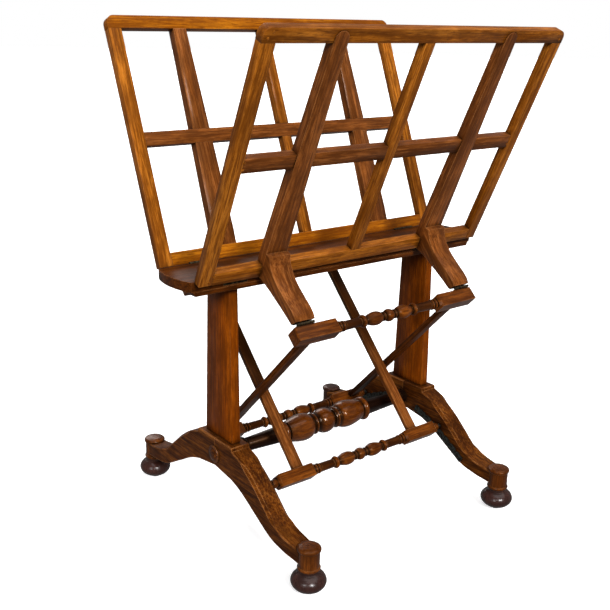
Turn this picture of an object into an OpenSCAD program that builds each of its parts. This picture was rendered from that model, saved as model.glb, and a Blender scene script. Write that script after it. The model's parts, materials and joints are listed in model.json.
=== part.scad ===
// Folio stand: two arched trestles, a turned stretcher and a narrow platform carry two slatted racks.
// Each rack is hinged to one long edge of the platform and is propped by a stay, which is a hinged
// frame of two turned rails and two flat struts.  The pins of a stay's lower rail stand on ratchets on
// the inner faces of the opposite legs.  Millimetres; X runs along the platform, +Z is up, -Y is the
// front, and the origin is on the floor at the centre.

/* [Trestles] */
// Distance between the centre planes of the two trestles
trestle_span = 580; // [520:10:600]
// Distance between the front and rear feet, centre to centre
foot_spread = 624; // [600:2:660]
// Thickness of the sawn legs
leg_thick = 47; // [40:1:52]
// Height of the flat pad that a post stands on
pad_height = 229.5; // [226:0.5:234]
// Thickness of a post
post_thick = 21.4; // [18:0.2:28]
// Width of a post at its foot
post_foot_width = 104; // [96:1:116]
// Width of a post under the platform
post_top_width = 83; // [70:1:96]

/* [Feet] */
// Radius of a bun foot
bun_radius = 37.6; // [34:0.2:40]
// Height of a bun foot, up to the drum
bun_height = 52; // [48:0.5:54]
// Radius of the turned drum above a bun foot
drum_radius = 22.4; // [21:0.1:23]

/* [Stretcher] */
// Height of the stretcher's axis above the floor
stretcher_height = 189; // [184:0.5:194]
// Largest radius of the stretcher's vases
vase_radius = 32; // [26:0.5:34]

/* [Platform] */
// Height of the platform's top face
platform_height = 615.7; // [605:0.1:625]
// Depth of the platform, front to rear
platform_depth = 129.6; // [124:0.2:136]
// Length of the platform at its front corners
platform_length = 811; // [800:1:830]
// Thickness of the platform board
board_thick = 21; // [18:0.5:24]
// How far each end of the board bows out beyond its corners
end_bow = 12; // [6:0.5:16]
// Height of the cleats under the board's long edges
cleat_height = 10; // [8:0.5:14]

/* [Racks] */
// Length of a rack
rack_length = 800; // [780:2:820]
// Height of a rack along its slope
rack_height = 542; // [520:1:560]
// Thickness of rails, stiles and slats
rack_thick = 19; // [17:0.5:22]
// Lean of the front rack from upright
front_lean = 23.5; // [20:0.5:24]
// Lean of the rear rack from upright
rear_lean = 22; // [20:0.5:24]
// Width of an arm at its head
arm_head_width = 32; // [28:1:36]
// Width of an arm at its ledge
arm_ledge_width = 54; // [48:1:56]
// Width of an arm at its toe
arm_toe_width = 47; // [42:1:50]
// Distance of an arm's centre from the middle of the rack
arm_offset = 228; // [226:0.5:230]

/* [Stays] */
// Lean of the front rack's stay from upright
front_stay_lean = 43.92; // [43:0.01:44.5]
// Lean of the rear rack's stay from upright
rear_stay_lean = 43.63; // [43:0.01:44.5]
// Distance between the axes of a stay's two rails
stay_length = 500; // [498:1:502]
// Side of the square blocks of the upper rail
upper_block = 31; // [28:0.5:32]
// Side of the square blocks of the lower rail
lower_block = 29; // [26:0.5:30]
// Width of a strut
strut_width = 26; // [22:1:28]
// Thickness of a strut
strut_thick = 12; // [10:0.5:14]
// Distance of the front stay's struts from the middle
front_strut_offset = 209; // [207:1:212]
// Distance of the rear stay's struts from the middle
rear_strut_offset = 176; // [172:1:180]

/* [Hidden] */
$fn = 64;

mahogany = "#7c3f17";
dark_mahogany = "#4a1f10";
bun_wood = "#3a1a16";
iron = "#3c3a36";
brass = "#8a6b35";

FRONT = -1;
REAR = 1;
LEFT = -1;
RIGHT = 1;
tiny = 0.01;

half_span = trestle_span / 2;
half_spread = foot_spread / 2;
inner_face = half_span - leg_thick / 2;
board_bottom = platform_height - board_thick;
half_depth = platform_depth / 2;

// Leg outline, measured outward from the middle of the trestle
pad_half = 67;
pad_step = 8.5;
leg_end = half_spread - 8;
leg_top_knots = [
    [pad_half + 1, pad_height - pad_step], [105, 207.5], [143, 183], [178, 153.5], [215, 121],
    [250, 104], [leg_end, 96],
];
leg_under_knots = [
    [0, 163], [40, 159.5], [97, 142.5], [152, 112.5], [208, 82], [250, 72], [leg_end, 66],
];

drum_foot = bun_height;
bun_neck_radius = 20.8;
drum_neck = 93;
cap_radius = drum_radius + 2.8;

// Ratchets: the pins' track is a shallow curve down each leg
pin_radius = 5;
ratchet_thick = 4.5;
ratchet_start = 56;
ratchet_stop = 222;
ratchet_depth = 21;
tooth_gap = pin_radius + 1.7;
notch_pitch = 22;
notch_radius = 5.6;
notch_count = 7;
notches_above_pin = 3;
// Where the pins stand at rest: the front stay's on the rear legs, the rear stay's on the front legs
rear_leg_pin = 139.3;
front_leg_pin = 135.5;
screw_head_radius = 3.1;

// Rack members, measured up the slope from the hinge line
rack_foot = 0.6;
rail_width = 29.5;
mid_rail_low = 259;
mid_rail_high = 289.5;
top_rail_low = 514;
stile_width = 30.5;
slat_width = 26;
corner_radius = 17;
arm_thick = 21;
lap = rack_thick / 2;
arm_top = 538;
rack_half = rack_length / 2;

// Crank of an arm, as (distance out from the rack's inner face, height up its slope)
ledge_height = 60;
pivot_out = 161.4;
pivot_drop = 14.6;
crank_over_knots = [[33, ledge_height], [44, 43], [62, 29], [84, 18.5], [112, 10], [135, 3.5], [150, -2.5]];
crank_under_knots = [[148, -25.5], [121, -18.5], [83, -10.5], [42, -3.2], [20, -1.2]];
crank_toe = [158.5, -9.5];

// Butt hinges
leaf_thick = 1.8;
rack_hinge_length = 60;
rack_hinge_offset = 300;
rack_knuckle = 3.2;
arm_hinge_length = 44;
arm_knuckle = 3;
hinge_pin = 1.6;
running_gap = 0.05;
knuckle_gap = 0.3;
leaf_lift = 0.6;

// Pivot of a stay, from the axis of its upper rail, along both faces of the square block
pivot_offset = upper_block / 2 + 2.5;
end_face_turn = -46.9;

// Blocks and pins of the rails, measured from the middle
upper_block_start = 145;
upper_block_end = 258;
lower_block_start = 140;
lower_block_end = 242;
collar_end = 255;
pin_end = inner_face - 1;

// ---------- helpers ----------

function mix(a, b, t) = a + (b - a) * t;

// Point at t between b and c on a smooth curve through a, b, c and d
function spline_point(a, b, c, d, t) =
    0.5 * (2 * b + (c - a) * t + (2 * a - 5 * b + 4 * c - d) * t * t + (3 * b - a - 3 * c + d) * t * t * t);

// Smooth curve through every knot, with steps points between neighbours
function spline(knots, steps) =
    let (last = len(knots) - 1)
    concat(
        [for (i = [0 : last - 1], s = [0 : steps - 1])
            spline_point(knots[max(i - 1, 0)], knots[i], knots[i + 1], knots[min(i + 2, last)], s / steps)],
        [knots[last]]
    );

// Turned profiles are lists of [distance along the axis, radius]
function swell(x0, x1, r0, r1, height, skew = 1, steps = 10) =
    [for (i = [0 : steps])
        let (t = i / steps)
        [mix(x0, x1, t), mix(r0, r1, t) + height * sin(180 * pow(t, skew))]];

function ball_half(radius, end, steps = 8) =
    [for (i = [0 : steps])
        let (x = end * i / steps)
        [x, sqrt(radius * radius - x * x)]];

function reversed(list) = [for (i = [len(list) - 1 : -1 : 0]) list[i]];

// Solid turned about X from the profile of its right half
module turned_pair(half) {
    end = half[len(half) - 1][0];
    outline = concat(
        [[0, -end]],
        [for (p = reversed(half)) [p[1], -p[0]]],
        [for (p = half) if (p[0] > 0) [p[1], p[0]]],
        [[0, end]]
    );
    rotate([0, 90, 0]) rotate_extrude() polygon(outline);
}

// Solid turned about Z from [height, radius] points
module turned_up(profile) {
    first = profile[0];
    last = profile[len(profile) - 1];
    rotate_extrude()
        polygon(concat([[0, first[0]]], [for (p = profile) [p[1], p[0]]], [[0, last[0]]]));
}

// Round bar along X, centred
module bar_x(radius, length) {
    rotate([0, 90, 0]) cylinder(r = radius, h = length, center = true);
}

// Plate in the YZ plane, centred on X
module plate_yz(thickness) {
    rotate([90, 0, 90]) linear_extrude(thickness, center = true) children();
}

// ---------- trestles ----------

module post(side) {
    foot = post_foot_width / 2;
    top = post_top_width / 2;
    color(mahogany) translate([side * half_span, 0, 0])
        plate_yz(post_thick)
            polygon([[-foot, pad_height], [foot, pad_height], [top, board_bottom], [-top, board_bottom]]);
}

module leg(side, end) {
    outline = concat(
        [[0, pad_height], [pad_half, pad_height]],
        spline(leg_top_knots, 6),
        reversed(spline(leg_under_knots, 6))
    );
    color(dark_mahogany)
        difference() {
            translate([side * half_span, 0, 0]) plate_yz(leg_thick)
                polygon([for (p = outline) [end * p[0], p[1]]]);
            translate([side * half_span, end * half_spread, 0]) {
                cylinder(r = drum_radius + 0.02, h = 140);
                translate([0, 0, drum_neck]) cylinder(r = cap_radius + 0.02, h = 60);
            }
        }
}

module drum(side, end) {
    ring_middle = drum_foot + 5;
    ring_half = 3.4;
    profile = concat(
        [[drum_foot, bun_neck_radius], [drum_foot + 1.4, bun_neck_radius]],
        [for (a = [-80 : 20 : 80]) [ring_middle + ring_half * sin(a), drum_radius - 0.4 + 2.6 * cos(a)]],
        [[drum_foot + 9.4, drum_radius], [drum_neck, drum_radius]],
        [for (a = [-90 : 15 : 60]) [drum_neck + 6 + 4.5 * sin(a), cap_radius - 3 + 3 * cos(a)]],
        [[drum_neck + 11.6, cap_radius - 4], [drum_neck + 13, cap_radius - 10], [drum_neck + 13.6, 4]]
    );
    color(mahogany) translate([side * half_span, end * half_spread, 0]) turned_up(profile);
}

// A low ball on a small flat, with a neck under the drum
module bun(side, end) {
    flat_radius = 10;
    middle = bun_height / 2 + 1;
    rise = middle - 3;
    profile = concat(
        [[0, flat_radius]],
        [for (a = [-73 : 7 : 53]) [middle + rise * sin(a), bun_radius * cos(a)]],
        [[bun_height - 4.4, bun_neck_radius], [bun_height, bun_neck_radius]]
    );
    color(bun_wood) translate([side * half_span, end * half_spread, 0]) turned_up(profile);
}

module boss(side) {
    profile = [[0, 20], [2.5, 20], [4, 18.5], [4, 15.5], [5, 13], [7, 10], [8, 5], [8.2, 0.5]];
    color(mahogany)
        translate([side * (half_span + leg_thick / 2), 0, stretcher_height + 2])
            rotate([0, side * 90, 0]) turned_up(profile);
}

module stretcher() {
    half = concat(
        ball_half(30, 25),
        [[27, 21], [29, 20]],
        swell(30, 37, 22, 22, 4, 1, 5),
        [[39, 21], [43, 22], [45, 26]],
        swell(46, 112, 27, 24, vase_radius - 25.4, 0.72, 14),
        [[114, 20], [116, 22]],
        swell(116, 131, 24, 24, 5, 1, 6),
        [[133, 20], [136, 19.5], [226, 15.5], [229, 14]],
        swell(230, 244, 16, 16, 4, 1, 6),
        [[246, 14], [249, 17], [inner_face, 17]]
    );
    color(dark_mahogany) translate([0, 0, stretcher_height]) turned_pair(half);
}

// ---------- platform ----------

module board_outline() {
    bow_radius = (half_depth * half_depth + end_bow * end_bow) / (2 * end_bow);
    reach = platform_length / 2 + end_bow;
    intersection() {
        square([2 * reach, platform_depth], center = true);
        translate([reach - bow_radius, 0]) union() {
            circle(r = bow_radius, $fn = 180);
            translate([-2 * reach, -half_depth]) square([2 * reach, platform_depth]);
        }
        translate([bow_radius - reach, 0]) union() {
            circle(r = bow_radius, $fn = 180);
            translate([0, -half_depth]) square([2 * reach, platform_depth]);
        }
    }
}

module platform_board() {
    color(mahogany) difference() {
        translate([0, 0, board_bottom]) linear_extrude(board_thick) board_outline();
        for (end = [FRONT, REAR], side = [LEFT, RIGHT])
            translate([side * rack_hinge_offset, end * half_depth, platform_height]) {
                bar_x(rack_knuckle + 0.4, rack_hinge_length + 1);
                translate([-rack_hinge_length / 2, end > 0 ? -leaf_thick : 0, -18])
                    cube([rack_hinge_length, leaf_thick, 18 + tiny]);
            }
    }
}

module cleat(end) {
    cleat_width = 20;
    low = board_bottom - cleat_height;
    half = platform_length / 2 - 3;
    color(dark_mahogany)
        translate([0, end * (half_depth - cleat_width / 2), 0])
            rotate([90, 0, 0]) linear_extrude(cleat_width, center = true)
                polygon([[-half, board_bottom], [half, board_bottom], [half - 6, low], [6 - half, low]]);
}

// ---------- ratchets ----------

// Height of the pins' track at a distance y from the middle
function track_height(y) = 202.4 - 0.2014 * y - 0.00113 * y * y;
function track_slope(y) = atan(-0.2014 - 0.00226 * y);
// Point a distance drop below the track, square to it
function below_track(y, drop) = [y + drop * sin(track_slope(y)), track_height(y) - drop * cos(track_slope(y))];
screw_places = [66, 140, 212];

module ratchet(side, end) {
    stations = [ratchet_start : 8.3 : ratchet_stop];
    outline = concat(
        [for (y = stations) below_track(y, tooth_gap)],
        reversed([for (y = stations) below_track(y, ratchet_depth)])
    );
    x = side * (inner_face - ratchet_thick / 2);
    difference() {
        translate([x, 0, 0]) plate_yz(ratchet_thick)
            polygon([for (p = outline) [end * p[0], p[1]]]);
        for (i = [0 : notch_count - 1]) {
            standing = end == REAR ? rear_leg_pin : front_leg_pin;
            centre = below_track(standing + (i - notches_above_pin) * notch_pitch, 4.2);
            translate([x, end * centre[0], centre[1]]) bar_x(notch_radius, ratchet_thick + 1);
        }
        for (y = screw_places) {
            place = below_track(y, ratchet_depth - 5.5);
            translate([x, end * place[0], place[1]]) bar_x(screw_head_radius + 0.1, ratchet_thick + 1);
        }
    }
}

module ratchets(side) {
    color(iron) for (end = [FRONT, REAR]) ratchet(side, end);
}

module ratchet_screws() {
    head = [[0, screw_head_radius], [ratchet_thick - 0.8, screw_head_radius], [ratchet_thick + 0.3, 2.2]];
    color(brass)
        for (side = [LEFT, RIGHT], end = [FRONT, REAR], y = screw_places) {
            place = below_track(y, ratchet_depth - 5.5);
            translate([side * inner_face, end * place[0], place[1]]) rotate([0, -side * 90, 0])
                turned_up(head);
        }
}

// ---------- hinges ----------

// One leaf of a butt hinge along X: the axis is the origin and the plate reaches out along +Y.
// The plate lies between heights low and high; odd leaves carry the outer knuckles.
module leaf(length, reach, knuckle, low, high, odd, bore) {
    knuckles = 5;
    step = length / knuckles;
    difference() {
        union() {
            translate([-length / 2, 0, low]) cube([length, reach, high - low]);
            for (i = [0 : knuckles - 1])
                if ((i % 2 == 0) == odd)
                    translate([-length / 2 + (i + 0.5) * step, 0, 0]) bar_x(knuckle, step - knuckle_gap);
        }
        for (i = [0 : knuckles - 1])
            if ((i % 2 == 0) != odd)
                translate([-length / 2 + (i + 0.5) * step, 0, 0])
                    bar_x(knuckle + knuckle_gap, step + knuckle_gap);
        bar_x(bore, length + 1);
    }
}

module platform_hinge_leaves() {
    color(brass)
        for (end = [0, 1], side = [LEFT, RIGHT])
            mirror([0, end, 0])
                translate([side * rack_hinge_offset, -half_depth, platform_height]) rotate([-90, 0, 0])
                    leaf(rack_hinge_length, 18, rack_knuckle, 0, leaf_thick, true, hinge_pin + 0.02);
}

module rack_hinge_pins() {
    color(iron)
        for (end = [FRONT, REAR], side = [LEFT, RIGHT])
            translate([side * rack_hinge_offset, end * half_depth, platform_height])
                bar_x(hinge_pin, rack_hinge_length);
}

// ---------- racks ----------

// Puts a rack, drawn upright with its inner hinge corner at the origin and its outside
// towards -Y, in its place
module at_rack(end) {
    lean = end == FRONT ? front_lean : rear_lean;
    mirror([0, end == FRONT ? 0 : 1, 0])
        translate([0, -half_depth, platform_height]) rotate([lean, 0, 0]) children();
}

// Board of a rack between x0 and x1 and between two heights on the slope
module rack_board(x0, x1, low, high) {
    translate([x0, -rack_thick, low]) cube([x1 - x0, rack_thick, high - low]);
}

// Face of an arm, seen square to the rack
module arm_face() {
    head = arm_head_width / 2;
    ledge = arm_ledge_width / 2;
    toe = arm_toe_width / 2;
    shoulder = arm_top - head;
    toe_height = -28;
    translate([0, shoulder]) circle(r = head);
    polygon([
        [-toe, toe_height - 30], [toe, toe_height - 30], [toe, toe_height], [ledge, ledge_height],
        [head, shoulder], [-head, shoulder], [-ledge, ledge_height], [-toe, toe_height],
    ]);
}

// Where both arms are let into the outer half of a rail
module arm_laps() {
    for (side = [LEFT, RIGHT])
        translate([side * arm_offset, -lap, 0]) rotate([90, 0, 0]) linear_extrude(rack_thick) arm_face();
}

module top_rail(end) {
    color(mahogany) at_rack(end) difference() {
        rotate([90, 0, 0]) linear_extrude(rack_thick) top_rail_outline();
        arm_laps();
    }
}

module top_rail_outline() {
    straight = rack_half - corner_radius;
    intersection() {
        translate([-rack_half, top_rail_low]) square([rack_length, rack_height - top_rail_low]);
        union() {
            translate([-rack_half, top_rail_low - tiny])
                square([rack_length, rack_height - corner_radius - top_rail_low + tiny]);
            translate([-straight, top_rail_low - tiny]) square([2 * straight, rack_height - top_rail_low + tiny]);
            for (side = [LEFT, RIGHT])
                translate([side * straight, rack_height - corner_radius]) circle(r = corner_radius);
        }
    }
}

module mid_rail(end) {
    half = rack_half - stile_width;
    color(mahogany) at_rack(end) difference() {
        rack_board(-half, half, mid_rail_low, mid_rail_high);
        arm_laps();
        translate([-slat_width / 2, -rack_thick - 1, mid_rail_low - 1])
            cube([slat_width, rack_thick - lap + 1, mid_rail_high - mid_rail_low + 2]);
    }
}

module bottom_rail(end) {
    half = rack_half - stile_width;
    color(mahogany) at_rack(end) difference() {
        rack_board(-half, half, rack_foot, rail_width);
        arm_laps();
        for (side = [LEFT, RIGHT])
            translate([side * rack_hinge_offset, 0, 0]) {
                bar_x(rack_knuckle + 0.4, rack_hinge_length + 1);
                translate([-rack_hinge_length / 2, -17, 0])
                    cube([rack_hinge_length, 17 + tiny, rack_foot + leaf_thick]);
            }
    }
}

module stile(end, side) {
    inner = rack_half - stile_width;
    color(mahogany) at_rack(end)
        translate([side > 0 ? inner : -rack_half, 0, 0]) rack_board(0, stile_width, rack_foot, top_rail_low);
}

module slat(end) {
    color(mahogany) at_rack(end) difference() {
        rack_board(-slat_width / 2, slat_width / 2, rail_width, top_rail_low);
        translate([-slat_width, -lap, mid_rail_low]) cube([2 * slat_width, lap + 1, mid_rail_high - mid_rail_low]);
    }
}

// Side view of an arm, drawn with its outside towards -Y
module arm_outline() {
    difference() {
        translate([-arm_thick, rail_width]) square([arm_thick, arm_top - rail_width]);
        translate([-lap, mid_rail_low]) square([lap + 1, mid_rail_high - mid_rail_low]);
        translate([-lap, top_rail_low]) square([lap + 1, arm_top]);
    }
    crank = concat(
        [[lap, ledge_height]],
        spline(crank_over_knots, 4),
        [crank_toe],
        spline(crank_under_knots, 3),
        [[lap, -1.2], [lap, rail_width], [lap, ledge_height]]
    );
    polygon([for (p = crank) [-p[0], p[1]]]);
}

module arm(end, side) {
    color(mahogany) at_rack(end) translate([side * arm_offset, 0, 0])
        difference() {
            intersection() {
                plate_yz(arm_ledge_width) arm_outline();
                rotate([90, 0, 0]) linear_extrude(400, center = true) arm_face();
            }
            at_pivot() end_face_cut();
        }
}

// From a rack's frame to its stay pivot
module at_pivot() {
    translate([0, -pivot_out, -pivot_drop]) children();
}

// Space in front of the crank's end face, which carries one leaf of the stay hinge
module end_face_cut() {
    rotate([end_face_turn, 0, 0]) {
        translate([-arm_ledge_width, -30, -40]) cube([2 * arm_ledge_width, 60, 40 + leaf_lift + leaf_thick]);
        bar_x(arm_knuckle + 0.5, 2 * arm_ledge_width);
    }
}

module rack_leaves(end) {
    color(brass) at_rack(end)
        for (side = [LEFT, RIGHT])
            translate([side * rack_hinge_offset, 0, 0]) mirror([0, 1, 0])
                leaf(rack_hinge_length, 16.5, rack_knuckle, rack_foot, rack_foot + leaf_thick, false,
                    hinge_pin + running_gap);
}

module arm_leaves(end) {
    color(brass) at_rack(end)
        for (side = [LEFT, RIGHT])
            translate([side * arm_offset, 0, 0]) at_pivot() rotate([end_face_turn, 0, 0])
                leaf(arm_hinge_length, 16, arm_knuckle, leaf_lift, leaf_lift + leaf_thick, true,
                    hinge_pin + 0.02);
}

module arm_pins(end) {
    color(iron) at_rack(end)
        for (side = [LEFT, RIGHT])
            translate([side * arm_offset, 0, 0]) at_pivot() bar_x(hinge_pin, arm_hinge_length);
}

// ---------- stays ----------

// Puts a stay, drawn hanging straight down from the axis of its upper rail, in its place
module at_stay(end) {
    turn = end == FRONT ? front_stay_lean - front_lean : rear_stay_lean - rear_lean;
    at_rack(end) at_pivot() rotate([turn, 0, 0]) translate([0, -pivot_offset, -pivot_offset]) children();
}

// Turned middle of a rail, up to the square blocks at distance start
function rail_turning(start) = concat(
    ball_half(14, 10),
    [[11, 8.5], [12, 8]],
    swell(13, 19, 8.5, 8.5, 2, 1, 4),
    [[21, 8], [23, 10]],
    swell(24, 66, 11, 9, 5, 0.8, 12),
    [[67, 8.5], [69, 9]],
    swell(69, 79, 10.5, 10.5, 3.6, 1, 5),
    [[81, 8.8], [83, 9.6], [start - 20, 10.2], [start - 19, 8.8]],
    swell(start - 18, start - 11, 9.5, 9.5, 2.4, 1, 5),
    [[start - 10, 8.6]],
    swell(start - 9, start - 2, 9.5, 9.5, 2.8, 1, 5),
    [[start, 9]]
);

// Square blocks whose four faces slope in at both ends
module blocks(start, stop, side_length) {
    long = (stop - start) / 2;
    half = side_length / 2;
    shoulder = 5;
    inset = 4.5;
    outline = [
        [-long, half - inset], [shoulder - long, half], [long - shoulder, half], [long, half - inset],
        [long, inset - half], [long - shoulder, -half], [shoulder - long, -half], [-long, inset - half],
    ];
    for (side = [LEFT, RIGHT])
        translate([side * (start + stop) / 2, 0, 0]) intersection() {
            linear_extrude(side_length, center = true) polygon(outline);
            rotate([90, 0, 0]) linear_extrude(side_length, center = true) polygon(outline);
        }
}

module upper_rail(end) {
    color(mahogany) at_stay(end) union() {
        turned_pair(concat(rail_turning(upper_block_start), [[upper_block_start + 20, 9]]));
        blocks(upper_block_start, upper_block_end, upper_block);
    }
}

module lower_rail(end) {
    color(mahogany) at_stay(end) translate([0, 0, -stay_length]) difference() {
        union() {
            turned_pair(concat(
                rail_turning(lower_block_start), [[lower_block_end, 9]],
                swell(lower_block_end, collar_end, 9, 8.5, 1.5, 1, 6)
            ));
            blocks(lower_block_start, lower_block_end, lower_block);
        }
        for (side = [LEFT, RIGHT]) translate([side * pin_end, 0, 0]) bar_x(pin_radius, 2 * (pin_end - 225));
    }
}

module strut(end, side) {
    offset_x = end == FRONT ? front_strut_offset : rear_strut_offset;
    low = lower_block / 2 - stay_length;
    high = -upper_block / 2;
    color(mahogany) at_stay(end)
        translate([side * offset_x - strut_width / 2, -strut_thick / 2, low])
            cube([strut_width, strut_thick, high - low]);
}

module rail_leaves(end) {
    color(brass) at_stay(end)
        for (side = [LEFT, RIGHT])
            translate([side * arm_offset, pivot_offset, pivot_offset]) rotate([-90, 0, 0]) mirror([0, 0, 1])
                leaf(arm_hinge_length, 26, arm_knuckle, leaf_lift, pivot_offset - upper_block / 2, false,
                    hinge_pin + running_gap);
}

module stay_pins(end) {
    color(iron) at_stay(end) translate([0, 0, -stay_length])
        for (side = [LEFT, RIGHT]) translate([side * (pin_end + 225) / 2, 0, 0]) bar_x(pin_radius, pin_end - 225);
}

post(LEFT);  // left_post
post(RIGHT);  // right_post
leg(LEFT, FRONT);  // left_front_leg
leg(LEFT, REAR);  // left_rear_leg
leg(RIGHT, FRONT);  // right_front_leg
leg(RIGHT, REAR);  // right_rear_leg
drum(LEFT, FRONT);  // left_front_drum
drum(LEFT, REAR);  // left_rear_drum
drum(RIGHT, FRONT);  // right_front_drum
drum(RIGHT, REAR);  // right_rear_drum
bun(LEFT, FRONT);  // left_front_bun
bun(LEFT, REAR);  // left_rear_bun
bun(RIGHT, FRONT);  // right_front_bun
bun(RIGHT, REAR);  // right_rear_bun
boss(LEFT);  // left_boss
boss(RIGHT);  // right_boss
stretcher();
platform_board();
cleat(FRONT);  // front_cleat
cleat(REAR);  // rear_cleat
ratchets(LEFT);  // left_ratchets
ratchets(RIGHT);  // right_ratchets
ratchet_screws();
platform_hinge_leaves();
rack_hinge_pins();
top_rail(FRONT);  // front_top_rail
mid_rail(FRONT);  // front_mid_rail
bottom_rail(FRONT);  // front_bottom_rail
stile(FRONT, LEFT);  // front_left_stile
stile(FRONT, RIGHT);  // front_right_stile
slat(FRONT);  // front_slat
arm(FRONT, LEFT);  // front_left_arm
arm(FRONT, RIGHT);  // front_right_arm
rack_leaves(FRONT);  // front_rack_leaves
arm_leaves(FRONT);  // front_arm_leaves
arm_pins(FRONT);  // front_arm_pins
upper_rail(FRONT);  // front_upper_rail
strut(FRONT, LEFT);  // front_left_strut
strut(FRONT, RIGHT);  // front_right_strut
lower_rail(FRONT);  // front_lower_rail
rail_leaves(FRONT);  // front_rail_leaves
stay_pins(FRONT);  // front_stay_pins
top_rail(REAR);  // rear_top_rail
mid_rail(REAR);  // rear_mid_rail
bottom_rail(REAR);  // rear_bottom_rail
stile(REAR, LEFT);  // rear_left_stile
stile(REAR, RIGHT);  // rear_right_stile
slat(REAR);  // rear_slat
arm(REAR, LEFT);  // rear_left_arm
arm(REAR, RIGHT);  // rear_right_arm
rack_leaves(REAR);  // rear_rack_leaves
arm_leaves(REAR);  // rear_arm_leaves
arm_pins(REAR);  // rear_arm_pins
upper_rail(REAR);  // rear_upper_rail
strut(REAR, LEFT);  // rear_left_strut
strut(REAR, RIGHT);  // rear_right_strut
lower_rail(REAR);  // rear_lower_rail
rail_leaves(REAR);  // rear_rail_leaves
stay_pins(REAR);  // rear_stay_pins
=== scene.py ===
"""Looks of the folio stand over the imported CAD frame: procedural mahogany, turned pieces, sawn legs and pegs.

Everything is in metres in the row frame: X runs along the platform, -Y is the front and +Z is up.
"""

import json
import math

import bpy
from mathutils import Matrix, Vector


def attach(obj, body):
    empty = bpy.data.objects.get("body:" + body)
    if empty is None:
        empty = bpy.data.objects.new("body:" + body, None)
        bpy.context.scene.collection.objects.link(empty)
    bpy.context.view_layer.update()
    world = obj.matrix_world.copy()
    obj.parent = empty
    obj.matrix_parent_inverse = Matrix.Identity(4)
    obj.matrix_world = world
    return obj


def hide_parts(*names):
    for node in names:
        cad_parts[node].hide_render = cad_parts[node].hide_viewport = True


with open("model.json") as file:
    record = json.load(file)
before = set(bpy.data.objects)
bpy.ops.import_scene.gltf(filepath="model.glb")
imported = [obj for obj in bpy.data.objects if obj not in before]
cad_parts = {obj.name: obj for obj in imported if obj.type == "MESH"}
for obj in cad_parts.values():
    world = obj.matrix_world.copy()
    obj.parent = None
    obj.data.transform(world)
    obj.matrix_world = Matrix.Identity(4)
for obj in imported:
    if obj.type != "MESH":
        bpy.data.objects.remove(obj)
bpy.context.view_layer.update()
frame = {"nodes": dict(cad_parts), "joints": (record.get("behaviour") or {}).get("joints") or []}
nodes = frame["nodes"]
MM = 0.001
FRONT, REAR = -1, 1
LEFT, RIGHT = -1, 1
SIDES = (("left", LEFT), ("right", RIGHT))
ENDS = (("front", FRONT), ("rear", REAR))

# ---------- sizes shared with the CAD ----------

joints = {j["name"]: j for j in frame["joints"]}
RACK_LEAN = {FRONT: math.radians(23.5), REAR: math.radians(22.0)}
STAY_LEAN = {FRONT: math.radians(43.92), REAR: math.radians(43.63)}
HALF_SPAN = 290 * MM
HALF_SPREAD = 312 * MM
STRETCHER_HEIGHT = 189 * MM
INNER_FACE = 266.5 * MM
STAY_LENGTH = 500 * MM
PIVOT_OFFSET = 18 * MM
UPPER_BLOCK = 31 * MM
LOWER_BLOCK = 29 * MM
RACK_THICK = 19 * MM
RACK_HALF = 400 * MM
RINGS = 72  # points round a turned piece


def hinge(name):
    return Vector(joints[name]["pos_m"])


def tilt(angle):
    return Matrix.Rotation(angle, 4, "X")


# Frames of the moving parts: local Z runs up the slope of a rack or a stay
HINGE = {end: hinge(f"{name}_rack_hinge") for name, end in ENDS}
PIVOT = {end: hinge(f"{name}_stay_hinge") for name, end in ENDS}
RACK_FRAME = {end: Matrix.Translation(HINGE[end]) @ tilt(-end * RACK_LEAN[end]) for _, end in ENDS}


def stay_frame(end):
    turn = tilt(-end * STAY_LEAN[end])
    pivot_local = Vector((0, -end * PIVOT_OFFSET, PIVOT_OFFSET))
    return Matrix.Translation(PIVOT[end] - turn @ pivot_local) @ turn


STAY_FRAME = {end: stay_frame(end) for _, end in ENDS}

# ---------- node materials ----------


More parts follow.
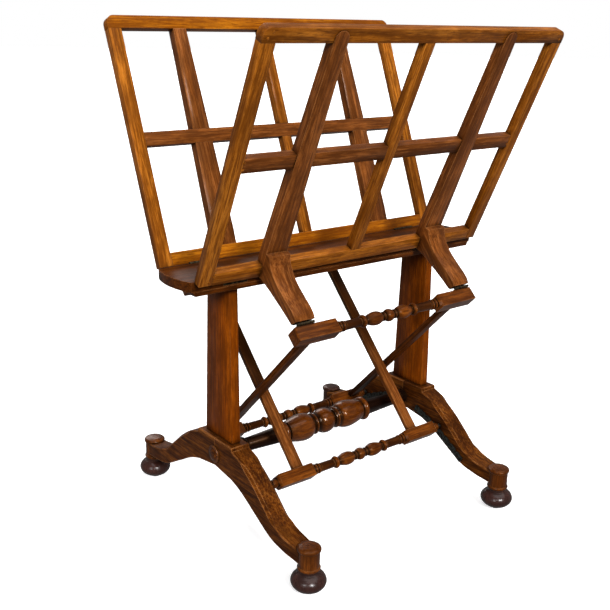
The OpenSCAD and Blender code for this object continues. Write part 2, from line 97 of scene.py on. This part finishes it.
class Shader:
    """Small helper that builds one node material."""

    def __init__(self, name):
        self.material = bpy.data.materials.new(name)
        self.material.use_nodes = True
        self.tree = self.material.node_tree
        self.tree.nodes.clear()
        self.output = self.tree.nodes.new("ShaderNodeOutputMaterial")
        self.surface = self.tree.nodes.new("ShaderNodeBsdfPrincipled")
        self.link(self.surface.outputs[0], self.output.inputs[0])

    def link(self, source, target):
        self.tree.links.new(source, target)

    def node(self, kind, **inputs):
        node = self.tree.nodes.new("ShaderNode" + kind)
        for key, value in inputs.items():
            socket = node.inputs[key.replace("_", " ")]
            if isinstance(value, bpy.types.NodeSocket):
                self.link(value, socket)
            else:
                socket.default_value = value
        return node

    def grain_space(self, turn, origin, seed):
        """Coordinates whose X runs along the grain."""
        shift = turn.to_matrix() @ Vector((seed * 1.7, seed * 0.31, seed * 0.23))
        mapping = self.tree.nodes.new("ShaderNodeMapping")
        mapping.vector_type = "TEXTURE"
        mapping.inputs["Location"].default_value = origin - shift
        mapping.inputs["Rotation"].default_value = turn
        self.link(self.node("TexCoord").outputs["Object"], mapping.inputs["Vector"])
        return mapping.outputs[0]

    def local(self, turn, origin):
        """X, Y and Z in a piece's own frame."""
        mapping = self.tree.nodes.new("ShaderNodeMapping")
        mapping.vector_type = "TEXTURE"
        mapping.inputs["Location"].default_value = origin
        mapping.inputs["Rotation"].default_value = turn
        self.link(self.node("TexCoord").outputs["Object"], mapping.inputs["Vector"])
        return self.node("SeparateXYZ", Vector=mapping.outputs[0]).outputs

    def radius(self, turn, origin):
        """Distance from the local X axis."""
        _, y, z = self.local(turn, origin)
        squares = self.math("MULTIPLY", y, y), self.math("MULTIPLY", z, z)
        return self.math("SQRT", self.math("ADD", *squares), 0.0)

    def switch(self, distance, turn, origin, near, far):
        """near within distance of the local XZ plane, and far beyond it."""
        across = self.math("ABSOLUTE", self.local(turn, origin)[1], 0.0)
        node = self.tree.nodes.new("ShaderNodeMix")
        node.data_type = "VECTOR"
        for index, setting in ((0, self.math("GREATER_THAN", across, distance)), (4, near), (5, far)):
            self.link(setting, node.inputs[index])
        return node.outputs[1]

    def noise(self, vector, stretch, detail=3.0, roughness=0.55, distortion=0.0):
        scaled = self.tree.nodes.new("ShaderNodeMapping")
        scaled.inputs["Scale"].default_value = stretch
        self.link(vector, scaled.inputs["Vector"])
        texture = self.node("TexNoise", Vector=scaled.outputs[0], Scale=1.0, Detail=detail,
                            Roughness=roughness, Distortion=distortion)
        return texture.outputs[0]

    def ramp(self, value, low, high, low_to=0.0, high_to=1.0):
        node = self.tree.nodes.new("ShaderNodeMapRange")
        node.interpolation_type = "SMOOTHSTEP"
        for index, setting in enumerate((value, low, high, low_to, high_to)):
            if isinstance(setting, bpy.types.NodeSocket):
                self.link(setting, node.inputs[index])
            else:
                node.inputs[index].default_value = setting
        return node.outputs[0]

    def math(self, operation, first, second):
        node = self.tree.nodes.new("ShaderNodeMath")
        node.operation = operation
        for index, setting in enumerate((first, second)):
            if isinstance(setting, bpy.types.NodeSocket):
                self.link(setting, node.inputs[index])
            else:
                node.inputs[index].default_value = setting
        return node.outputs[0]

    def mix(self, factor, first, second):
        node = self.tree.nodes.new("ShaderNodeMix")
        node.data_type = "RGBA"
        for index, setting in ((0, factor), (6, first), (7, second)):
            if isinstance(setting, bpy.types.NodeSocket):
                self.link(setting, node.inputs[index])
            elif isinstance(setting, tuple) and len(setting) == 3:
                node.inputs[index].default_value = (*setting, 1.0)
            else:
                node.inputs[index].default_value = setting
        return node.outputs[2]

    def edges(self, radius):
        """About 0 on flat stretches, rising on edges: the normal of a rounded copy against the real one."""
        rounded = self.node("Bevel", Radius=radius).outputs[0]
        plain = self.tree.nodes.new("ShaderNodeNewGeometry").outputs["Normal"]
        dot = self.tree.nodes.new("ShaderNodeVectorMath")
        dot.operation = "DOT_PRODUCT"
        self.link(rounded, dot.inputs[0])
        self.link(plain, dot.inputs[1])
        return self.math("SUBTRACT", 1.0, dot.outputs["Value"])

    def hollows(self, distance):
        """1 in the open, falling towards 0 in grooves and corners."""
        node = self.node("AmbientOcclusion", Distance=distance)
        node.samples = 6
        return node.outputs["AO"]

    def bump(self, height, strength, distance):
        node = self.node("Bump", Height=height, Strength=strength, Distance=distance)
        self.link(node.outputs[0], self.surface.inputs["Normal"])

    def settings(self, **inputs):
        for key, value in inputs.items():
            socket = self.surface.inputs[key.replace("_", " ")]
            if isinstance(value, bpy.types.NodeSocket):
                self.link(value, socket)
            else:
                socket.default_value = value


# Polished mahogany tones, as (dark streak, main, light streak)
TONES = {
    "orange": ((0.135, 0.032, 0.0012), (0.330, 0.094, 0.0024), (0.450, 0.150, 0.0060)),
    "brown": ((0.120, 0.031, 0.0020), (0.360, 0.106, 0.0075), (0.500, 0.172, 0.0180)),
    "rosy": ((0.075, 0.020, 0.0035), (0.215, 0.060, 0.0100), (0.320, 0.106, 0.0240)),
    "post": ((0.100, 0.020, 0.0007), (0.255, 0.050, 0.0012), (0.360, 0.088, 0.0035)),
    "ruddy": ((0.030, 0.0062, 0.0008), (0.130, 0.031, 0.0024), (0.250, 0.070, 0.0080)),
    "red": ((0.024, 0.0052, 0.0006), (0.086, 0.0200, 0.0020), (0.160, 0.043, 0.0055)),
    "deep": ((0.026, 0.0056, 0.0008), (0.128, 0.0330, 0.0030), (0.200, 0.064, 0.0090)),
    "dark": ((0.016, 0.0055, 0.0040), (0.044, 0.0150, 0.0110), (0.064, 0.0230, 0.0165)),
    # painted shade: near black for the stretcher's shafts, which lie in shade
    "shade_black": ((0.003, 0.0012, 0.0008), (0.010, 0.0035, 0.0020), (0.022, 0.0080, 0.0050)),
}
WORN = (0.36, 0.140, 0.042)
NEAR_BLACK = 0.30  # how bright the near black is, against a tone's dark streak; it darkens the necks of turnings and, as painted shade, one end of a piece
# Near black for grime and painted shade in grooves, corners and between parts
GRIME_AND_SHADE = (0.004, 0.0018, 0.0008)
WARM_SHINE = (1.0, 0.42, 0.12)
PLAIN_SHINE = (1.0, 1.0, 1.0)


def wood(name, tone, turn, origin, seed, gloss=0.5, wear=0.6, grime=0.8, edge=2.2 * MM, soot=18 * MM,
         streaks=1.0, shine=WARM_SHINE, crests=None, bend=None, fade=None):
    """Polished mahogany with its grain along local X.

    streaks is how strongly the grain shows, and shine is the tint of what the polish reflects.
    crests = (low, high, reach) darkens the necks of a turning, between those two radii from its axis, up to
    reach along it.
    fade = (dark, clear) darkens one end towards near black, between those two places along local X; on the
    posts and the rear struts this is painted shade under the platform.
    bend = (distance, turn) is for a cranked piece: past that distance from its frame the grain takes turn.
    """
    shader = Shader(name)
    dark, main, light = TONES[tone]
    near_black = tuple(NEAR_BLACK * c for c in dark)
    grain = shader.grain_space(turn, origin, seed)
    if bend is not None:
        grain = shader.switch(bend[0], turn, origin, grain, shader.grain_space(bend[1], origin, seed))
    figure = shader.noise(grain, (4.0, 34, 34), detail=3.0, distortion=0.12)
    bands = shader.noise(grain, (7.0, 190, 190), detail=3.0, roughness=0.62)
    fibres = shader.noise(grain, (32, 430, 430), detail=4.0, roughness=0.68)
    pores = shader.noise(grain, (90, 1700, 1700), detail=1.0)
    patches = shader.noise(grain, (13, 24, 24), detail=5.0, roughness=0.62)
    colour = shader.mix(shader.ramp(figure, 0.30, 0.58, 1.0 - streaks, 1.0), dark, main)
    colour = shader.mix(shader.ramp(figure, 0.52, 0.74, 0.0, 0.8), colour, light)
    colour = shader.mix(shader.ramp(bands, 0.38, 0.53, 0.80 * streaks, 0.0), colour, dark)
    colour = shader.mix(shader.ramp(bands, 0.53, 0.66, 0.0, 0.60 * streaks), colour, light)
    colour = shader.mix(shader.ramp(fibres, 0.36, 0.52, 0.85 * streaks, 0.0), colour, dark)
    colour = shader.mix(shader.ramp(fibres, 0.53, 0.70, 0.0, 0.55 * streaks), colour, light)
    colour = shader.mix(shader.ramp(pores, 0.26, 0.40, 0.75, 0.0), colour, dark)
    colour = shader.mix(shader.ramp(patches, 0.36, 0.58, 0.55, 0.0), colour, dark)
    if crests is not None:
        crest = shader.ramp(shader.radius(turn, origin), crests[0], crests[1])
        along = shader.math("ABSOLUTE", shader.local(turn, origin)[0], 0.0)
        beyond = shader.math("GREATER_THAN", along, crests[2])
        neck = shader.math("SUBTRACT", 1.0, shader.math("MAXIMUM", crest, beyond))
        colour = shader.mix(neck, colour, near_black)
    # Painted shade: one end darkened towards near black, as where the posts and rear struts run under the
    # platform
    if fade is not None:
        along = shader.local(turn, origin)[0]
        dark_first = float(fade[0] < fade[1])
        cover = shader.ramp(along, min(fade), max(fade), dark_first, 1.0 - dark_first)
        colour = shader.mix(shader.math("MULTIPLY", cover, 0.9), colour, near_black)
    worn_patches = shader.ramp(patches, 0.40, 0.56, 0.15, 1.0)
    edge_mask = shader.ramp(shader.edges(edge), 0.010, 0.075)
    worn = shader.math("MULTIPLY", shader.math("MULTIPLY", edge_mask, worn_patches), wear)
    colour = shader.mix(worn, colour, WORN)
    # Grime and painted shade: darker where ambient occlusion finds grooves, corners and gaps between parts,
    # where shade falls
    open_space = shader.hollows(soot)
    dirt_and_shade = shader.math("MULTIPLY", shader.ramp(open_space, 0.40, 0.95, 1.0, 0.0), grime)
    colour = shader.mix(dirt_and_shade, colour, GRIME_AND_SHADE)
    roughness = shader.ramp(patches, 0.3, 0.7, 0.60 - 0.36 * gloss, 0.44 - 0.30 * gloss)
    roughness = shader.math("ADD", roughness, shader.math("MULTIPLY", dirt_and_shade, 0.25))
    open_pores = shader.ramp(pores, 0.26, 0.42, 0.0, 0.5)
    height = shader.math("ADD", shader.math("MULTIPLY", fibres, 0.5), open_pores)
    height = shader.math("ADD", height, shader.math("MULTIPLY", patches, 1.5))
    shader.bump(height, 0.45, 0.3 * MM)
    shader.settings(Base_Color=colour, Roughness=roughness, IOR=1.5, Specular_IOR_Level=0.08 + 0.20 * gloss,
                    Specular_Tint=(*shine, 1.0), Coat_Weight=0.02 + 0.34 * gloss ** 3,
                    Coat_Roughness=0.26 - 0.20 * gloss, Coat_IOR=1.5)
    return shader.material


def metal(name, base, stain, rough_low, rough_high):
    shader = Shader(name)
    space = shader.node("TexCoord").outputs["Object"]
    blotches = shader.noise(space, (130, 130, 130), detail=5.0, roughness=0.65)
    scratches = shader.noise(space, (900, 120, 900), detail=2.0)
    colour = shader.mix(shader.ramp(blotches, 0.38, 0.62), stain, base)
    bright = shader.ramp(shader.edges(0.8 * MM), 0.03, 0.22, 0.0, 0.7)
    colour = shader.mix(bright, colour, tuple(min(1.0, c * 2.2) for c in base))
    # Grime and painted shade: darker in grooves and corners, by ambient occlusion
    dirt_and_shade = shader.ramp(shader.hollows(6 * MM), 0.25, 0.8, 0.8, 0.0)
    colour = shader.mix(dirt_and_shade, colour, GRIME_AND_SHADE)
    roughness = shader.ramp(blotches, 0.3, 0.7, rough_high, rough_low)
    shader.bump(shader.math("ADD", blotches, shader.math("MULTIPLY", scratches, 0.4)), 0.3, 0.2 * MM)
    shader.settings(Base_Color=colour, Metallic=0.9, Roughness=roughness)
    return shader.material


iron = metal("old_iron", (0.060, 0.066, 0.058), (0.012, 0.010, 0.008), 0.34, 0.6)
brass = metal("tarnished_brass", (0.085, 0.062, 0.032), (0.016, 0.012, 0.008), 0.35, 0.6)

# Turns that lay the grain, local X, along an axis
ALONG = {
    "x": Matrix.Identity(4),
    "y": Matrix.Rotation(math.pi / 2, 4, "Z"),
    "z": Matrix.Rotation(-math.pi / 2, 4, "Y"),
}
seeds = iter(range(1, 200))


def paint(obj, tone, axis, place=Matrix.Identity(4), **looks):
    """Gives obj a wood of its own, with the grain along an axis of place."""
    obj.data.materials.clear()
    coat(obj, tone, axis, place, **looks)


def coat(obj, tone, axis, place=Matrix.Identity(4), **looks):
    """Adds one more wood to obj's slots."""
    turn = (place @ ALONG[axis]).to_euler()
    name = f"wood_{obj.name}_{len(obj.data.materials)}"
    obj.data.materials.append(wood(name, tone, turn, place.to_translation(), next(seeds), **looks))


SHARP_ANGLE = math.radians(35)  # an edge that turns more than this is eased, or drawn sharp


def soften(obj, width):
    """Rounds the edges of a CAD board a little, as a hand plane and years of use do."""
    weld = obj.modifiers.new("weld", "WELD")
    weld.merge_threshold = 0.01 * MM
    bevel = obj.modifiers.new("eased_edges", "BEVEL")
    bevel.width = width
    bevel.segments = 2
    bevel.limit_method = "ANGLE"
    bevel.angle_limit = SHARP_ANGLE
    bevel.harden_normals = False
    smooth(obj)


def smooth(obj):
    for polygon in obj.data.polygons:
        polygon.use_smooth = True
    obj.data.set_sharp_from_angle(angle=SHARP_ANGLE)


# ---------- mesh helpers ----------


def new_piece(name, vertices, faces, place=Matrix.Identity(4), sharp=35):
    mesh = bpy.data.meshes.new(name)
    mesh.from_pydata([place @ Vector(v) for v in vertices], [], faces)
    mesh.update()
    obj = bpy.data.objects.new(name, mesh)
    bpy.context.scene.collection.objects.link(obj)
    for polygon in mesh.polygons:
        polygon.use_smooth = True
    mesh.set_sharp_from_angle(angle=math.radians(sharp))
    return obj


def mix(a, b, t):
    return a + (b - a) * t


def swell(x0, x1, r0, r1, height, skew=1.0, steps=20):
    """Points of a bulging stretch of a turned profile."""
    parts = [i / steps for i in range(steps + 1)]
    return [(mix(x0, x1, t), mix(r0, r1, t) + height * math.sin(math.pi * t ** skew)) for t in parts]


def ball_half(radius, end, steps=16):
    return [(end * i / steps, math.sqrt(radius ** 2 - (end * i / steps) ** 2)) for i in range(steps + 1)]


def ring_mesh(stations):
    """Rings about X through (distance, radius) stations, closed at both ends."""
    vertices, faces = [], []
    for distance, radius in stations:
        for i in range(RINGS):
            angle = 2 * math.pi * i / RINGS
            vertices.append((distance, radius * math.cos(angle), radius * math.sin(angle)))
    for ring in range(len(stations) - 1):
        for i in range(RINGS):
            a, b = ring * RINGS + i, ring * RINGS + (i + 1) % RINGS
            faces.append((a, b, b + RINGS, a + RINGS))
    faces.append(tuple(range(RINGS - 1, -1, -1)))
    last = (len(stations) - 1) * RINGS
    faces.append(tuple(range(last, last + RINGS)))
    return vertices, faces


def both_ways(half):
    """A right half profile in millimetres, mirrored about its middle, in metres."""
    left = [(-x, r) for x, r in reversed(half) if x > 0]
    return [(x * MM, r * MM) for x, r in left + half]


# ---------- turned pieces ----------

VASE_END = 132 * MM  # where the stretcher's vases end and its near-black shafts begin, painted dark as shade
STRETCHER = (
    ball_half(30, 25)
    + [(25.8, 17.5), (27, 21), (29, 21.5)]
    + swell(29.5, 37, 22, 22, 4, 1, 8)
    + [(38, 20.5), (39, 20.5), (43, 22), (44.6, 25.5), (45.4, 26.4)]
    + swell(46, 112, 27, 24, 6.6, 0.72, 28)
    + [(113, 20), (115.5, 20), (116, 23)]
    + swell(116.5, 131, 24, 24, 5, 1, 10)
    + [(132, 20.5), (134, 20.5), (136, 19.5), (226, 15.5), (228, 14), (229.5, 14)]
    + swell(230, 244, 16, 16, 4, 1, 10)
    + [(245, 14), (247, 14), (249, 17), (INNER_FACE / MM, 17)]
)


def rail_turning(start):
    return (
        ball_half(14, 10)
        + [(10.6, 7.6), (12, 7.4)]
        + swell(13, 19, 8.5, 8.5, 2, 1, 8)
        + [(19.8, 7.2), (21.5, 7.4), (23, 10)]
        + swell(24, 66, 11, 9, 5, 0.8, 24)
        + [(67, 8), (68.4, 8)]
        + swell(69, 79, 10.5, 10.5, 3.6, 1, 10)
        + [(80, 8.4), (81.6, 8.4), (83, 9.6), (start - 20, 10.2), (start - 19, 8.4)]
        + swell(start - 18, start - 11, 9.5, 9.5, 2.4, 1, 8)
        + [(start - 10.4, 8.2), (start - 9.6, 8.2)]
        + swell(start - 9, start - 2, 9.5, 9.5, 2.8, 1, 8)
        + [(start - 1.2, 9), (start - 0.1, 9)]
    )


SHOULDER = 5 * MM  # length of the slope at a block's end
INSET = 4.5 * MM  # how far the four faces come in over it
RUBBED = 0.8 * MM  # how much the long arrises have lost


def block(start, stop, side, end_inset):
    """Stations of a square block: its faces slope in at the inner end, and by end_inset at the outer one."""
    half = side / 2
    inner = [(start, half - INSET), (start + SHOULDER, half)]
    if end_inset == INSET:
        return inner + [(stop - SHOULDER, half), (stop, half - INSET)]
    return inner + [(stop - 2.2 * end_inset, half), (stop - end_inset, half - 0.3 * end_inset),
                    (stop - 0.3 * end_inset, half - end_inset), (stop, half - 1.8 * end_inset)]


def square_rings(stations, place=Matrix.Identity(4)):
    """A square bar with rubbed arrises, through (distance, half side) stations along X."""
    vertices, faces = [], []
    for distance, half in stations:
        cut = half - RUBBED
        ring = ((half, -cut), (half, cut), (cut, half), (-cut, half),
                (-half, cut), (-half, -cut), (-cut, -half), (cut, -half))
        vertices += [place @ Vector((distance, y, z)) for y, z in ring]
    for station in range(len(stations) - 1):
        for i in range(8):
            a, b = station * 8 + i, station * 8 + (i + 1) % 8
            faces.append((a, b, b + 8, a + 8))
    faces.append(tuple(range(7, -1, -1)))
    last = (len(stations) - 1) * 8
    faces.append(tuple(range(last, last + 8)))
    return vertices, faces


def merged(parts):
    vertices, faces = [], []
    for part_vertices, part_faces in parts:
        base = len(vertices)
        vertices += part_vertices
        faces += [tuple(base + i for i in face) for face in part_faces]
    return vertices, faces


def rail(name, place, start, stop, side, end_inset, tail):
    """A turned rail with a square block towards each end; tail is the turning beyond the blocks."""
    turned = ring_mesh(both_ways(rail_turning(start / MM) + [((start + 6 * MM) / MM, 9)]))
    parts = [turned]
    for flip in (0, math.pi):
        turn = Matrix.Rotation(flip, 4, "Z")
        parts.append(square_rings(block(start, stop, side, end_inset), turn))
        if tail:
            vertices, faces = ring_mesh([(x * MM, r * MM) for x, r in tail])
            parts.append(([turn @ Vector(v) for v in vertices], faces))
    return new_piece(name, *merged(parts), place)


stretcher = new_piece("turned_stretcher", *ring_mesh(both_ways(STRETCHER)),
                      Matrix.Translation((0, 0, STRETCHER_HEIGHT)))
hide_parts("stretcher")
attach(stretcher, "base")
axis_place = Matrix.Translation((0, 0, STRETCHER_HEIGHT))
paint(stretcher, "ruddy", "x", axis_place, gloss=0.95, wear=0.2, grime=0.95, streaks=0.45,
      crests=(19.5 * MM, 29 * MM, 1.0))
# Painted shade: the shafts beyond the vases get a near-black wood that stands for the shade they lie in
coat(stretcher, "shade_black", "x", axis_place, gloss=0.4, wear=0.1)
for polygon in stretcher.data.polygons:
    polygon.material_index = int(abs(polygon.center.x) > VASE_END)

for name, end in ENDS:
    lower_place = STAY_FRAME[end] @ Matrix.Translation((0, 0, -STAY_LENGTH))
    upper = rail(f"{name}_upper_turning", STAY_FRAME[end], 145 * MM, 258 * MM, UPPER_BLOCK, 1.5 * MM, [])
    neck = [(236, 9), (242.5, 9)] + swell(243, 255, 9, 8.5, 1.5, 1, 8) + [(255.1, 5.2)]
    lower = rail(f"{name}_lower_turning", lower_place, 140 * MM, 242 * MM, LOWER_BLOCK, INSET, neck)
    for piece, node, place in ((upper, f"{name}_upper_rail", STAY_FRAME[end]),
                               (lower, f"{name}_lower_rail", lower_place)):
        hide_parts(node)
        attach(piece, f"{name}_stay")
        # A wider reach of grime and painted shade, so the blocks darken where the cranks overhang them
        paint(piece, "ruddy", "x", place, gloss=0.52, wear=0.5, grime=1.0, soot=30 * MM, streaks=0.7,
              crests=(8.2 * MM, 13.5 * MM, 140 * MM))

# ---------- legs ----------

LEG_HALF = 23.5 * MM
PAD = 229.5
LEG_TOP = ((68, 221), (105, 207.5), (143, 183), (178, 153.5), (215, 121), (250, 104), (304, 96))
LEG_UNDER = ((0, 163), (40, 159.5), (97, 142.5), (152, 112.5), (208, 82), (250, 72), (304, 66))
CHAMFER = 6.5


def curve(knots, steps):
    """Smooth curve through every knot, with steps points between neighbours."""
    points = []
    last = len(knots) - 1
    for i in range(last):
        a, b, c, d = (knots[min(max(i + k, 0), last)] for k in (-1, 0, 1, 2))
        for step in range(steps):
            t = step / steps
            points.append(tuple(0.5 * (2 * q + (r - p) * t + (2 * p - 5 * q + 4 * r - w) * t * t
                                       + (3 * q - p - 3 * r + w) * t ** 3) for p, q, r, w in zip(a, b, c, d)))
    return points + [knots[last]]


def height_on(points, y):
    for (y0, z0), (y1, z1) in zip(points, points[1:]):
        if y0 <= y <= y1:
            return mix(z0, z1, (y - y0) / (y1 - y0))
    return points[-1][1]


def ease(value, low, high):
    t = min(max((value - low) / (high - low), 0), 1)
    return t * t * (3 - 2 * t)


def leg_mesh(side, end):
    """One sawn leg, with stopped chamfers along its upper edges."""
    top = [(0, PAD), (65.8, PAD), (66.7, PAD - 0.7), (67.6, PAD - 7.4)] + curve(LEG_TOP, 14)
    under = curve(LEG_UNDER, 14)
    vertices, faces = [], []
    for y, z in top:
        low = height_on(under, y)
        cut = 1.6 + (CHAMFER - 1.6) * ease(y, 98, 118) * (1 - ease(y, 206, 230))
        rub = 1.4
        half = LEG_HALF / MM - 1.6 * ease(y, 262, 296)
        section = ((-half, low + rub), (-half, z - cut), (cut - half, z), (half - cut, z), (half, z - cut),
                   (half, low + rub), (half - rub, low), (rub - half, low))
        vertices += [(side * HALF_SPAN + x * MM, end * y * MM, h * MM) for x, h in section]
    count = 8
    for station in range(len(top) - 1):
        for i in range(count):
            a, b = station * count + i, station * count + (i + 1) % count
            faces.append((a, b, b + count, a + count))
    faces.append(tuple(range(count - 1, -1, -1)))
    last = (len(top) - 1) * count
    faces.append(tuple(range(last, last + count)))
    if end < 0:
        faces = [tuple(reversed(face)) for face in faces]
    return vertices, faces


for side_name, side in SIDES:
    for end_name, end in ENDS:
        part = f"{side_name}_{end_name}_leg"
        piece = new_piece(f"{part}_chamfered", *leg_mesh(side, end), sharp=28)
        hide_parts(part)
        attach(piece, "base")
        paint(piece, "deep", "y", gloss=0.14, wear=0.9, edge=3.0 * MM)

# ---------- pegs ----------


def peg(place, radius):
    """A short dowel end, a little domed, standing 0.3 mm proud."""
    stations = [(-1.0, radius), (0.05, radius), (0.2, radius - 0.25), (0.28, radius - 1.0), (0.32, 0.4)]
    vertices, faces = ring_mesh([(x * MM, r * MM) for x, r in stations])
    return [place @ Vector(v) for v in vertices], faces


def outward(end, x, height):
    """A place on the outer face of a rack, with local X pointing out of it."""
    return Matrix.Translation((x, end * RACK_THICK, height)) @ Matrix.Rotation(end * math.pi / 2, 4, "Z")


# Pegs of one rack: (inset from its end, height up its slope) in millimetres, at its corners and mid rail
PEG_SPOTS = ((11, 522), (20, 534), (31, 22), (22, 8), (31.5, 281), (31.5, 267))
PEG_RADIUS = 3.2  # millimetres

for name, end in ENDS:
    spots = [(side * (RACK_HALF - inset * MM), height * MM) for _, side in SIDES
             for inset, height in PEG_SPOTS]
    piece = new_piece(f"{name}_rack_pegs", *merged([peg(outward(end, x, h), PEG_RADIUS) for x, h in spots]),
                      RACK_FRAME[end])
    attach(piece, f"{name}_rack")
    paint(piece, "brown", "y", RACK_FRAME[end], wear=0.0, grime=0.9)

# ---------- sawn boards kept from the CAD ----------

CRANK_TURN = math.radians(62)  # how far the grain turns in an arm's crank, from its rack's slope
CRANK_START = 22.5 * MM  # the grain takes that turn beyond this distance from the rack's inner face

for name, side in SIDES:
    # Painted shade: the posts darken towards their tops, under the platform
    paint(nodes[f"{name}_post"], "post", "z", gloss=0.14, wear=0.6, fade=(0.620, 0.500))
    soften(nodes[f"{name}_post"], 2.0 * MM)
    paint(nodes[f"{name}_boss"], "red", "x", gloss=0.7, grime=1.0)
    smooth(nodes[f"{name}_boss"])
    for end_name, end in ENDS:
        part = f"{name}_{end_name}"
        foot = Matrix.Translation((side * HALF_SPAN, end * HALF_SPREAD, 0))
        # Painted shade: the right rear drum stands in shade and gets the dark tone instead of red
        drum_tone = "dark" if part == "right_rear" else "red"
        paint(nodes[f"{part}_drum"], drum_tone, "z", foot, gloss=0.7, wear=0.4, grime=1.0, streaks=0.6)
        smooth(nodes[f"{part}_drum"])
        paint(nodes[f"{part}_bun"], "dark", "z", foot, gloss=0.8, wear=0.1, streaks=0.6, shine=PLAIN_SHINE)
        smooth(nodes[f"{part}_bun"])
    nodes[f"{name}_ratchets"].data.materials.clear()
    nodes[f"{name}_ratchets"].data.materials.append(iron)

paint(nodes["platform_board"], "red", "x", gloss=0.25, wear=0.8)
soften(nodes["platform_board"], 2.6 * MM)
for name, end in ENDS:
    paint(nodes[f"{name}_cleat"], "red", "x", gloss=0.25)
    soften(nodes[f"{name}_cleat"], 1.0 * MM)
    for rail_name in ("top_rail", "mid_rail", "bottom_rail"):
        board = nodes[f"{name}_{rail_name}"]
        tone = "rosy" if rail_name == "mid_rail" else "orange" if end == REAR else "brown"
        paint(board, tone, "x", RACK_FRAME[end], gloss=0.4)
        soften(board, 1.2 * MM)
    for upright in ("left_stile", "right_stile", "slat"):
        board = nodes[f"{name}_{upright}"]
        paint(board, "brown", "z", RACK_FRAME[end], gloss=0.4)
        soften(board, 1.2 * MM)
    # The crank's grain follows its slope, out and down from the ledge
    crank_turn = (RACK_FRAME[end] @ tilt(end * CRANK_TURN) @ ALONG["z"]).to_euler()
    for side_name, _ in SIDES:
        arm = nodes[f"{name}_{side_name}_arm"]
        paint(arm, "rosy", "z", RACK_FRAME[end], wear=0.9, edge=2.6 * MM, bend=(CRANK_START, crank_turn))
        soften(arm, 1.6 * MM)
        strut = nodes[f"{name}_{side_name}_strut"]
        # Painted shade: the rear struts darken towards their upper ends, under the platform; the front struts
        # darken towards their lower ends
        paint(strut, "red" if end == FRONT else "rosy", "z", STAY_FRAME[end], gloss=0.3,
              fade=(-0.46, -0.30) if end == FRONT else (-0.17, -0.36))
        soften(strut, 1.0 * MM)

for node in nodes.values():
    if node.name.endswith(("leaves", "screws")):
        node.data.materials.clear()
        node.data.materials.append(brass)
        smooth(node)
    if node.name.endswith("pins"):
        node.data.materials.clear()
        node.data.materials.append(iron)
        smooth(node)

# ---------- floor, light and camera ----------

FLOOR_REACH = 30.0
WALL_HEIGHT = 24.0
WALL_SIDES = 96


def unlit_by(obj):
    """Keeps a stage piece from lighting the object. The floor still takes shadows."""
    obj.visible_diffuse = False
    obj.visible_glossy = False


def pale_floor():
    half = FLOOR_REACH
    corners = [(-half, -half, 0), (half, -half, 0), (half, half, 0), (-half, half, 0)]
    floor = new_piece("floor", corners, [(0, 1, 2, 3)])
    shader = Shader("pale_floor")
    cloud = shader.noise(shader.node("TexCoord").outputs["Object"], (3, 3, 3), detail=4.0)
    colour = shader.mix(cloud, (0.93, 0.93, 0.93), (0.96, 0.96, 0.96))
    shader.settings(Base_Color=colour, Roughness=0.8, Specular_IOR_Level=0.1,
                    Emission_Color=(1.0, 1.0, 1.0, 1.0), Emission_Strength=0.55)
    floor.data.materials.append(shader.material)
    unlit_by(floor)


def white_surround():
    """A white wall all round, far away."""
    count = WALL_SIDES
    radius = FLOOR_REACH * 0.98
    ring = [(radius * math.cos(2 * math.pi * i / count), radius * math.sin(2 * math.pi * i / count))
            for i in range(count)]
    vertices = [(x, y, z) for z in (-1.0, WALL_HEIGHT) for x, y in ring]
    faces = [(i, (i + 1) % count, (i + 1) % count + count, i + count) for i in range(count)]
    wall = new_piece("surround", vertices, faces)
    shader = Shader("white_surround")
    shader.settings(Base_Color=(0.0, 0.0, 0.0, 1.0), Roughness=1.0, Specular_IOR_Level=0.0,
                    Emission_Color=(1.0, 1.0, 1.0, 1.0), Emission_Strength=1.0)
    wall.data.materials.append(shader.material)
    wall.visible_shadow = False
    unlit_by(wall)


def soft_sun(name, azimuth, elevation, spread, strength):
    """Parallel light from a wide disc: azimuth 0 is the front, and negative is towards the left."""
    data = bpy.data.lights.new(name, "SUN")
    data.energy = strength
    data.angle = math.radians(spread)
    lamp = bpy.data.objects.new(name, data)
    bpy.context.scene.collection.objects.link(lamp)
    azimuth, elevation = math.radians(azimuth), math.radians(elevation)
    towards = Vector((math.sin(azimuth) * math.cos(elevation), -math.cos(azimuth) * math.cos(elevation),
                      math.sin(elevation)))
    lamp.rotation_euler = towards.to_track_quat("Z", "Y").to_euler()


def studio():
    world = bpy.data.worlds.new("studio")
    bpy.context.scene.world = world
    world.use_nodes = True
    background = world.node_tree.nodes["Background"]
    background.inputs["Color"].default_value = (1.0, 1.0, 1.0, 1.0)
    background.inputs["Strength"].default_value = 0.25
    soft_sun("key", -15, 30, 16, 3.3)
    soft_sun("side", -64, 24, 20, 0.95)
    soft_sun("top", 30, 78, 60, 1.5)
    soft_sun("back", 165, 32, 30, 0.7)
    bpy.context.scene.view_settings.view_transform = "Standard"


def camera():
    azimuth, elevation, roll = (math.radians(a) for a in (-38.75, 17.32, 1.26))
    back = Vector((math.sin(azimuth) * math.cos(elevation), -math.cos(azimuth) * math.cos(elevation),
                   math.sin(elevation)))
    level_right = Vector((0, 0, 1)).cross(back).normalized()
    level_up = back.cross(level_right)
    right = level_right * math.cos(roll) + level_up * math.sin(roll)
    up = level_up * math.cos(roll) - level_right * math.sin(roll)
    turn = Matrix((right, up, back)).transposed().to_4x4()
    data = bpy.data.cameras.new("camera")
    data.sensor_width = 36
    data.angle = math.radians(36.45)
    data.clip_start = 0.05
    eye = bpy.data.objects.new("camera", data)
    bpy.context.scene.collection.objects.link(eye)
    eye.matrix_world = Matrix.Translation((-1.3304, -1.5773, 1.1240)) @ turn
    bpy.context.scene.camera = eye


pale_floor()
white_surround()
studio()
camera()
